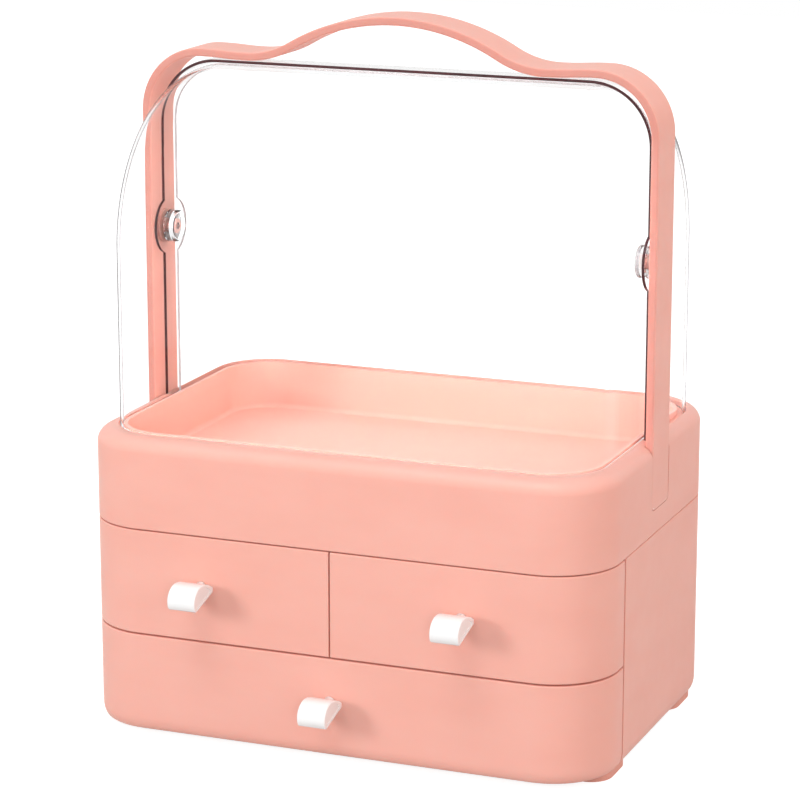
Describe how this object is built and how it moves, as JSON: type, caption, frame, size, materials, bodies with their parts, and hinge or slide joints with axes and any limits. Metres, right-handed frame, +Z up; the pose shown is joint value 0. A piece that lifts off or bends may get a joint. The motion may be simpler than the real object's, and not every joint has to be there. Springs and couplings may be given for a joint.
{
  "type": "dustproof makeup organizer",
  "caption": "Moulded vanity box with wrap-round drawers, a display tray under a clear domed flip cover in two nested halves, and a wavy strap carrying handle.",
  "frame": {"origin": "on the table, under the middle of the whole box with its knobs", "axes": "+Z up, +X to the right as seen from the front, -Y towards the drawers' knobs"},
  "size_m": [0.285, 0.2246, 0.3715],
  "materials": {
    "salmon": "satin injection moulded",
    "feet": "matte",
    "white": "glossy",
    "clear": "clear polished",
    "screws": "zinc plated"
  },
  "bodies": {
    "body": {"cabinet": "salmon", "foot_rear_right": "feet", "foot_rear_left": "feet", "foot_front_left": "feet", "foot_front_right": "feet", "top_tray": "salmon", "tray_screw_front_left": "screws", "tray_screw_front_right": "screws", "tray_screw_rear_left": "screws", "tray_screw_rear_right": "screws", "handle": "salmon", "rear_cover": "clear", "pivot_cap_left": "clear", "pivot_cap_right": "clear", "pivot_washer_left": "clear", "pivot_washer_right": "clear"},
    "flip_cover": {"front_cover": "clear"},
    "left_drawer": {"drawer_left": "salmon", "drawer_front_left": "salmon", "knob_left": "white", "knob_screw_left": "screws"},
    "right_drawer": {"drawer_right": "salmon", "drawer_front_right": "salmon", "knob_right": "white", "knob_screw_right": "screws"},
    "large_drawer": {"drawer_large": "salmon", "drawer_front_large": "salmon", "knob_large": "white", "knob_screw_large": "screws"}
  },
  "joints": [
    {"name": "flip_cover_hinge", "type": "hinge", "parent": "body", "child": "flip_cover", "pos_m": [0, 0.01225, 0.2525], "axis": [-1, 0, 0], "range_deg": [0, 95]},
    {"name": "left_drawer_slide", "type": "slide", "parent": "body", "child": "left_drawer", "axis": [0, -1, 0], "range_m": [0, 0.15]},
    {"name": "right_drawer_slide", "type": "slide", "parent": "body", "child": "right_drawer", "axis": [0, -1, 0], "range_m": [0, 0.15]},
    {"name": "large_drawer_slide", "type": "slide", "parent": "body", "child": "large_drawer", "axis": [0, -1, 0], "range_m": [0, 0.15]}
  ]
}
